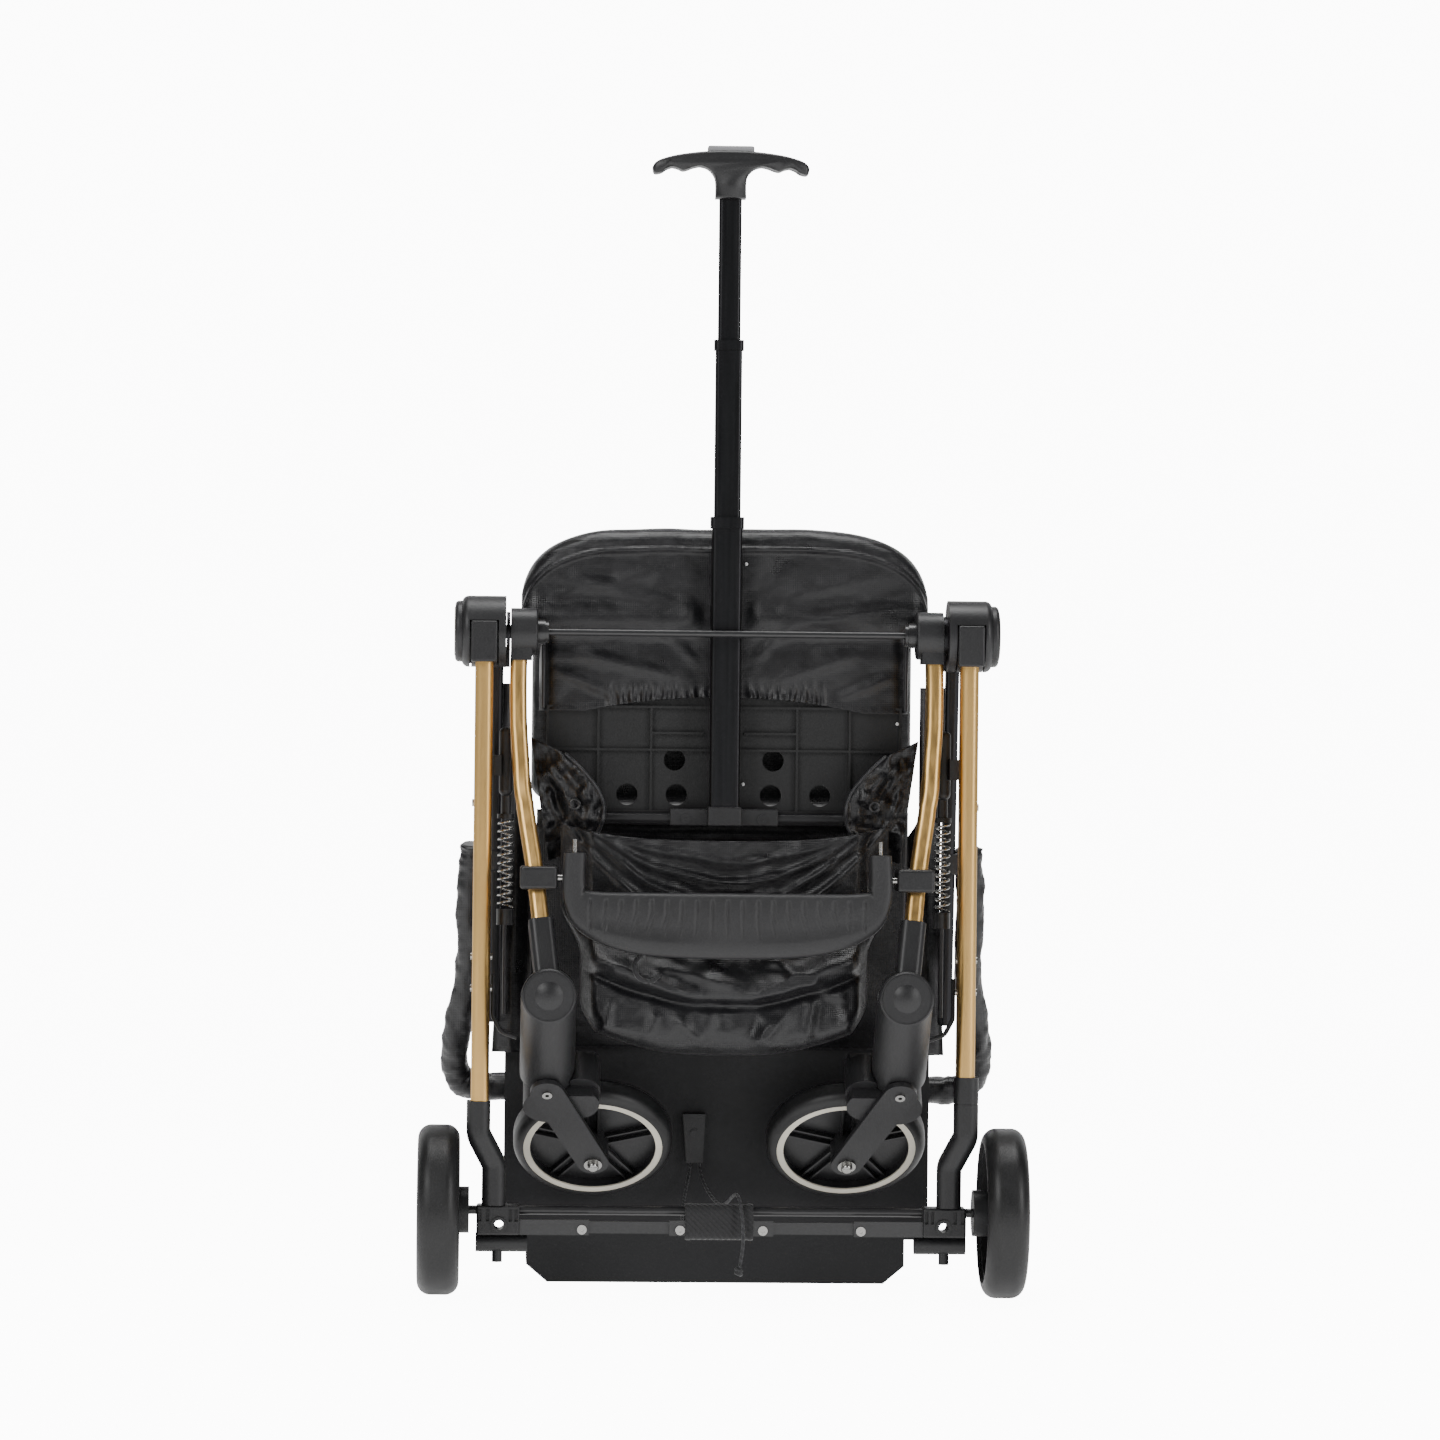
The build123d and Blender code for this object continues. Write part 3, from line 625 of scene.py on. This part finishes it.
def wall_point(u, v, offset):
    """A point of the wall; v runs up from the base board."""
    x = u * WALL_HALF
    y = WALL_FOOT[0] + v * (WALL_TOP[0] - WALL_FOOT[0])
    z = WALL_FOOT[1] + v * (WALL_TOP[1] - WALL_FOOT[1])
    slack = math.sin(math.pi * v)
    y += slack * (3.2 * math.sin(x / 21 + 2 * v) + 3.0 * ripple(x, z, 40, 21) - 4)
    y -= 3.0 * ridge(z - 410, 5)
    return mm(x, y + offset, z)


def cabin_wall():
    wall = cloth("cabin_wall", 121, 61, wall_point, 1.2)
    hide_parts("cabin_panel")
    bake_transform(wall)


cabin_wall()


# Side curtains: the cabin's side fabric, hanging in upright folds behind the legs

CURTAIN_FROM, CURTAIN_TO = 160.0, 204.0
CURTAIN_LOW, CURTAIN_HIGH = 208.0, 540.0
CURTAIN_Y = 106


def curtain(side):
    name = "left" if side < 0 else "right"

    def place(u, v, offset):
        z = CURTAIN_LOW + v * (CURTAIN_HIGH - CURTAIN_LOW)
        near = CURTAIN_FROM + 19 * step_up(z, 385, 425)  # narrower above, clear of the opening ears
        x = near + (u + 1) / 2 * (CURTAIN_TO - near - 5 * math.sin(math.pi * v))
        y = CURTAIN_Y + 3.0 * math.sin(x / 4.4 + 1.5 * v) + 3.0 * ripple(x * 2, z, 46, 51 + side)
        return mm(side * x, y + offset, z)

    panel = cloth(f"side_curtain_{name}", 41, 121, place, 1.0)
    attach(panel, "rear_frame")


curtain(-1)
curtain(1)


# Side ears: folded corners of the cover with piped edges and an eyelet

EAR_FOLDS = [
    ((-160, 470), (-128, 420), 3.6, 4.0), ((-150, 470), (-122, 436), 3.0, 3.0),
    ((-158, 440), (-136, 402), 3.4, 3.6), ((-165, 474), (-150, 430), 3.0, 2.6),
]
EAR = ((-172, 492), (-142, 478), (-108, 436), (-120, 396), (-156, 382))
EYELET = (-133, 433)
EYELET_RADIUS = 4.2


def ear(side):
    name = "left" if side < 0 else "right"
    outer, upper, tip, lower, foot = (np.array(corner, float) for corner in EAR)

    def place(u, v, offset):
        share = (u + 1) / 2
        below = (1 - share) * foot + share * lower
        above = (1 - share) * outer + share * upper
        bulge = math.sin(math.pi * v) * share
        x, z = (1 - v) * below + v * above + bulge * (tip - (lower + upper) / 2)
        y = 12 + 8 * math.sin(3.2 * share + 2.4 * v)
        y = y + 7 * ripple(x, z, 13, 31 + side) + 2 * ripple(x, z, 6, 35)
        for fold in EAR_FOLDS:
            y -= fold[3] * ridge_between(x, z, *fold[:3])
        return mm(-side * x, y + offset, z)

    flap = cloth(f"cover_ear_{name}", 61, 61, place, 1.1)
    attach(flap, "seat")
    edge_route = []
    for step in range(31):
        point = place(1.0, step / 30, -1.4) * 1000
        edge_route.append((point.x, point.y - HINGE_Y, point.z))
    bar = round_bar(f"ear_piping_{name}", edge_route, 1.9, piping_look)
    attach(bar, "seat")

    def eyelet_distance(vertex):
        x, y, z = vertex.co * 1000
        return math.hypot(x + side * EYELET[0], z - EYELET[1]) + 0.01 * y

    centre = min(flap.data.vertices, key=eyelet_distance).co * 1000
    circle = []
    for angle in angles(32) + [2 * math.pi]:
        x = centre.x + EYELET_RADIUS * math.cos(angle)
        z = centre.z + EYELET_RADIUS * math.sin(angle)
        circle.append((x, centre.y - HINGE_Y - 2.2, z))
    eyelet = round_bar(f"ear_eyelet_{name}", circle, 1.3, looks["black_steel"])
    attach(eyelet, "seat")


ear(-1)
ear(1)


# Push handle: foam-filled sleeve with soft creases along the bow

BOW_Y = 66
BOW = [(-221, BOW_Y, 395), (-226, 80, 345), (-222, 98, 290), (-236, 128, 228), (-239, 152, 190),
       (-228, 160, 173), (-186, 160, 173)]
BOW_RADIUS = 12.4
CLAMP_INNER, CLAMP_LONG = 198, 25
CLAMP_Z = 382
CLAMP_HALF = 12.5


def clamp(side):
    """Moulded clamp between the handle tube and the padded bow."""
    sections = []
    for share in np.linspace(0, 1, 13):
        grow = CLAMP_HALF * (0.8 + 0.2 * rounding(min(share, 1 - share), 0.22))
        loop = []
        for angle in angles(32):
            across = squared_off(math.cos(angle), 0.35) * grow
            up = squared_off(math.sin(angle), 0.35) * grow * 0.8
            loop.append(mm(side * (CLAMP_INNER + CLAMP_LONG * share), BOW_Y + across, CLAMP_Z + up))
        sections.append(loop)
    block = loft(f"handle_clamp_{'left' if side < 0 else 'right'}", sections, looks["black_plastic"])
    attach(block, "push_handle")


def bow_sleeve():
    """Sleeve along the bow, creased by noise and closed by one sewn seam."""
    ends = BOW + [(-x, y, z) for x, y, z in reversed(BOW)]
    route = [mm(*point) for point in rounded_route(ends)]
    sections = []
    for index, point in enumerate(route):
        ahead = (route[min(index + 1, len(route) - 1)] - route[max(index - 1, 0)]).normalized()
        side = ahead.cross(Vector((0, 0.8, 0.6))).normalized()
        other = side.cross(ahead).normalized()
        run = index / (len(route) - 1)
        loop = []
        for angle in angles(28):
            crease = 2.0 * noise.noise(Vector((run * 46, math.cos(angle) * 1.3, math.sin(angle) * 1.3)))
            crease += 0.8 * noise.noise(Vector((run * 130, math.cos(angle) * 2.6, math.sin(angle) * 2.6)))
            seam = -1.3 * ridge(math.remainder(angle - 1.2, 2 * math.pi), 0.14)
            outward = side * math.cos(angle) + other * math.sin(angle)
            loop.append(point + outward * (BOW_RADIUS + crease + seam) / 1000)
        sections.append(loop)
    sleeve = loft("handle_sleeve", sections, looks["fabric"])
    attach(sleeve, "push_handle")
    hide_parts("handle_bow")


bow_sleeve()
clamp(-1)
clamp(1)


# Bumper bar: rubbery bar lofted along its U, with a ribbed grip face and a smoother lower lip

BAR_INNER = [(-123.5, 392), (-123.5, 366), (-118, 359), (-60, 358), (0, 358),
             (60, 358), (118, 359), (123.5, 366), (123.5, 392)]
BAR_OUTER = [(-143, 392), (-143, 350), (-127, 322), (-80, 304.5), (0, 300.5),
             (80, 304.5), (127, 322), (143, 350), (143, 392)]
BAR_Y = -66
BAR_HALF_DEPTH = 11.6
RIB_PITCH = 13.3
RIBS_EACH_SIDE = 9


def bar_relief(x, z):
    """How far the face is cut in at (x, z) by the grip's grooves and the lip's line."""
    grip_area = step_up(z, 324, 328) * (1 - step_up(z, 350, 354)) * (1 - step_up(abs(x), 121, 124))
    ribs = range(-RIBS_EACH_SIDE, RIBS_EACH_SIDE + 1)
    groove = max(ridge(x - RIB_PITCH * number, 1.1) for number in ribs)
    lip = ridge(z - 318 - 0.0009 * x * x, 1.3) * (1 - step_up(abs(x), 112, 122))
    return 1.9 * groove * grip_area, 1.8 * lip


def bumper():
    count, around = 521, 56
    inner = smooth_route(BAR_INNER, count)
    outer = smooth_route(BAR_OUTER, count)
    sections = []
    for index in range(count):
        start, end = Vector((*inner[index], 0)), Vector((*outer[index], 0))
        loop = []
        for angle in angles(around):
            across = 0.5 - 0.5 * squared_off(math.cos(angle), 0.5)
            depth = squared_off(math.sin(angle), 0.55)
            x, z, _ = start.lerp(end, across)
            y = BAR_Y - BAR_HALF_DEPTH * depth
            if depth > 0.5:
                grooves, lip = bar_relief(x, z)
                y = y + grooves + lip
            loop.append(mm(x, y, z))
        sections.append(loop)
    bar = loft("bumper_grip", sections, looks["foam"])
    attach(bar, "bumper")
    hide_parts("bumper_bar")


bumper()


# Pull cord with its knot, and the webbing tab

CORD = [(-31, 9, 66), (-33, 24, 60), (-33, 46, 59), (-32, 67, 65), (-30.5, 84, 75), (-28, 96, 86.5),
        (-25.8, 104, 95.5), (-24.3, 109, 103), (-24, 111.6, 109.8), (-23.6, 112.2, 116.6),
        (-16.4, 112.2, 116.6), (-16, 111.6, 109.8), (-15.2, 108.8, 102.5), (-13, 103, 94.5), (-9, 93, 86),
        (-4, 78, 79), (1, 60, 75.5), (6, 40, 78), (10, 20, 86), (13, 2, 90.5), (15.5, -13, 88),
        (17.5, -20, 76), (19, -21, 58), (18.5, -19.8, 40), (15, -19.5, 23)]
CORD_DIAMETER = 0.003
KNOT_TURNS, KNOT_RADIUS = 2.2, 2.2
KNOT_X, KNOT_Y, KNOT_TOP = 15.2, -19.6, 27.5
TAB_SIDES = 40
TAB_FROM, TAB_TO = -32, 28


def pull_cord():
    """Braided cord from behind the webbing to its free, knotted end."""
    curve = bpy.data.curves.new("pull_cord_line", "CURVE")
    curve.dimensions = "3D"
    spline = curve.splines.new("NURBS")
    spline.points.add(len(CORD) - 1)
    for point, place in zip(spline.points, CORD):
        point.co = (*mm(*place), 1)
    spline.order_u = 3
    spline.use_endpoint_u = True
    spline.resolution_u = 8
    curve.bevel_depth = CORD_DIAMETER / 2
    curve.bevel_resolution = 4
    curve.use_fill_caps = True
    curve.materials.append(looks["cord"])
    piece = bpy.data.objects.new("pull_cord_braid", curve)
    bpy.context.scene.collection.objects.link(piece)
    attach(piece, "rear_frame")
    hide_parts("pull_cord")
    knot = cord_knot()


def cord_knot():
    """Overhand knot: a short thick coil round the cord's end."""
    route = []
    for step in range(49):
        turn = step / 48
        angle = 2 * math.pi * KNOT_TURNS * turn
        x = KNOT_X + KNOT_RADIUS * math.cos(angle)
        y = KNOT_Y + KNOT_RADIUS * math.sin(angle)
        route.append((x, y, KNOT_TOP - 7 * turn))
    knot = round_bar("pull_cord_knot", route, 1.6, looks["cord"])
    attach(knot, "rear_frame")
    return knot


def tab_loop(x, wide):
    """One section of the webbing sleeve round the axle and the tie bar."""
    loop = []
    for angle in angles(TAB_SIDES):
        across = squared_off(math.cos(angle), 0.6) * (9.1 + wide)
        up = squared_off(math.sin(angle), 0.5) * (15.2 + wide)
        loop.append(mm(x, -3.4 + across + 0.3 * ripple(x, up, 9, 41), 66 + up))
    return loop


def webbing_tab():
    """Sleeve of webbing with thicker hems at both ends, open inside."""
    sections = []
    for x in np.linspace(TAB_FROM, TAB_TO, 61):
        sections.append(tab_loop(x, 0.6 + 0.5 * ridge(abs(x + 2) - 27, 1.6)))
    sections += [tab_loop(x, -0.9) for x in np.linspace(TAB_TO, TAB_FROM, 61)]
    points = [point for section in sections for point in section]
    faces = grid_faces(len(sections), TAB_SIDES, wrap=True)
    last = (len(sections) - 1) * TAB_SIDES
    for column in range(TAB_SIDES):
        after = (column + 1) % TAB_SIDES
        faces.append((last + column, last + after, after, column))
    tab = mesh_object("webbing_sleeve", points, faces, strap_look)
    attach(tab, "rear_frame")
    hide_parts("webbing_tab")


pull_cord()
webbing_tab()


# Pull grip: arched T with two finger scallops on each side

GRIP_UPPER = [(0, 1014), (20, 1013.3), (44, 1010.4), (60, 1006.4), (67, 1002.8), (69.6, 999)]
GRIP_LOWER = [(69.6, 998), (68.6, 993.6), (65, 993), (60, 996.6), (54, 998.6), (48, 997.6), (42.5, 995.6),
              (37, 997.8), (28, 999.6), (20, 997), (15, 991), (13.6, 984), (13.6, 971.4)]
GRIP_Y = 24
GRIP_HALF_DEPTH = 11.6


def grip_outline():
    upper = smooth_route([(*point, 0) for point in GRIP_UPPER], 30)
    lower = smooth_route([(*point, 0) for point in GRIP_LOWER], 60)
    right = [(x, z) for x, z, _ in upper + lower]
    return right + [(-x, z) for x, z in reversed(right[1:])]


def pull_grip():
    """The outline swept through the depth, drawn in towards both faces."""
    outline = grip_outline()
    levels = []
    for share in np.linspace(-1, 1, 21):
        inset = 1 - rounding(1 - abs(share), 0.42)
        y = GRIP_Y + GRIP_HALF_DEPTH * share
        loop = []
        for x, z in outline:
            narrow = min(1.0, max(0.0, (z - 974) / 8))
            inward = 3.4 * inset * (0.25 + 0.75 * narrow)
            to_middle = max(1e-6, math.hypot(x, (z - 1000) * 2.4))
            reach = inward / to_middle
            loop.append(mm(x * (1 - min(0.6, reach)), y, z + (1002 - z) * min(0.5, reach * 2.4)))
        levels.append(loop)
    grip = loft("pull_grip", levels, looks["black_plastic"])
    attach(grip, "trolley_top")
    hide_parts("trolley_grip")


pull_grip()


# Lock springs: coils of wire between fixed ends

SPRING_X, SPRING_Y = 193.5, 13.0
SPRING_FOOT, SPRING_TOP = 340.0, 420.0
SPRING_TURNS = 11
SPRING_RADIUS = 6.3
SPRING_WIRE = 1.1
STEPS_PER_TURN = 24


def lock_spring(side):
    name = "left" if side < 0 else "right"
    low, high = SPRING_FOOT + 1.3, SPRING_TOP - 1.3
    route = []
    steps = SPRING_TURNS * STEPS_PER_TURN
    for step in range(steps + 1):
        turn = step / steps
        angle = 2 * math.pi * SPRING_TURNS * turn
        x = side * SPRING_X + SPRING_RADIUS * math.cos(angle)
        y = SPRING_Y + SPRING_RADIUS * math.sin(angle)
        route.append((x, y, low + turn * (high - low)))
    coil = round_bar(f"lock_coil_{name}", route, SPRING_WIRE, looks["bright_steel"], 8)
    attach(coil, "rear_frame")
    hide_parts(f"lock_spring_{name}")
    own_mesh(coil)


lock_spring(-1)
lock_spring(1)


# Small bright rivets of the seat plate and the cover

RIVETS = [(154, 34.6, 507), (18, 34.4, 648), (17, 34.4, 452)]


def rivets():
    for index, (x, y, z) in enumerate(RIVETS):
        route = [(x, y + 2.4, z), (x, y + 1.2, z), (x, y, z)]
        rivet = round_bar(f"rivet_{index}", route, 1.5, button_rivet, 14)
        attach(rivet, "seat")


rivets()


# Floor, light and camera

CAMERA_DISTANCE = 5.0
CAMERA_YAW = math.radians(2.3)
CAMERA_ROLL = math.radians(0.6)
CAMERA_LENS = 140.8
AIM = Vector((-0.0045, -0.02, 0.509))

# Strengths: what lights the object, and what the camera sees behind it
AMBIENT, BACKDROP = 0.12, 11.0
GLOW, FLOOR_SEEN = 0.9, 11.0
FLOOR_LEVEL = -0.0004


def seen_by_camera(tree, unseen, seen, socket):
    """Gives a strength one value for camera rays and another for all others."""
    ray = tree.nodes.new("ShaderNodeLightPath")
    strength = tree.nodes.new("ShaderNodeMapRange")
    strength.inputs["To Min"].default_value = unseen
    strength.inputs["To Max"].default_value = seen
    tree.links.new(ray.outputs["Is Camera Ray"], strength.inputs["Value"])
    tree.links.new(strength.outputs["Result"], socket)


def floor():
    """Pale floor that curves up into a wall behind the object."""
    half, bend, start = 9.0, 2.0, 5.8
    profile = [(-8.0, FLOOR_LEVEL), (start, FLOOR_LEVEL)]
    for step in range(1, 25):
        angle = math.pi / 2 * step / 24
        profile.append((start + bend * math.sin(angle), bend - bend * math.cos(angle) + FLOOR_LEVEL))
    profile.append((start + bend, 7.0))
    points = [(x, y, z) for y, z in profile for x in (-half, half)]
    material, tree, shader = new_material("studio_paint", (0.93, 0.93, 0.93), 0.8, specular=0.1)
    tinted(tree, shader, noise_of(tree, 3.0), (0.92, 0.92, 0.92), (0.94, 0.94, 0.94))
    shader.inputs["Emission Color"].default_value = (1, 1, 1, 1)
    seen_by_camera(tree, GLOW, FLOOR_SEEN, shader.inputs["Emission Strength"])
    sweep = mesh_object("floor", points, grid_faces(len(profile), 2), material)


def area_light(name, place, target, size, power):
    lamp = bpy.data.lights.new(name, "AREA")
    lamp.shape = "RECTANGLE"
    lamp.size, lamp.size_y = size
    lamp.energy = power
    holder = bpy.data.objects.new(name, lamp)
    holder.location = place
    holder.rotation_euler = (Vector(target) - Vector(place)).to_track_quat("-Z", "Y").to_euler()
    bpy.context.scene.collection.objects.link(holder)


def studio():
    """Even white surroundings and three soft lights."""
    world = bpy.data.worlds.new("studio")
    world.use_nodes = True
    tree = world.node_tree
    tree.nodes["Background"].inputs["Color"].default_value = (1, 1, 1, 1)
    seen_by_camera(tree, AMBIENT, BACKDROP, tree.nodes["Background"].inputs["Strength"])
    bpy.context.scene.world = world
    area_light("key", (-1.9, -2.6, 2.3), (0, 0, 0.45), (1.3, 1.6), 62)
    area_light("fill", (2.2, -2.2, 1.4), (0, 0, 0.4), (0.9, 1.8), 40)
    area_light("top", (0, 0.2, 2.6), (0, 0, 0.5), (1.6, 0.8), 34)


def camera():
    """Long lens, a little to the left of the object's middle and slightly rolled."""
    lens = bpy.data.cameras.new("view")
    lens.sensor_width = 36.0
    lens.lens = CAMERA_LENS
    holder = bpy.data.objects.new("view", lens)
    away = Vector((-math.sin(CAMERA_YAW), -math.cos(CAMERA_YAW), 0))
    holder.location = AIM + away * CAMERA_DISTANCE
    holder.rotation_mode = "QUATERNION"
    holder.rotation_quaternion = (-away).to_track_quat("-Z", "Y") @ Quaternion((0, 0, 1), CAMERA_ROLL)
    bpy.context.scene.collection.objects.link(holder)
    bpy.context.scene.camera = holder


floor()
studio()
camera()
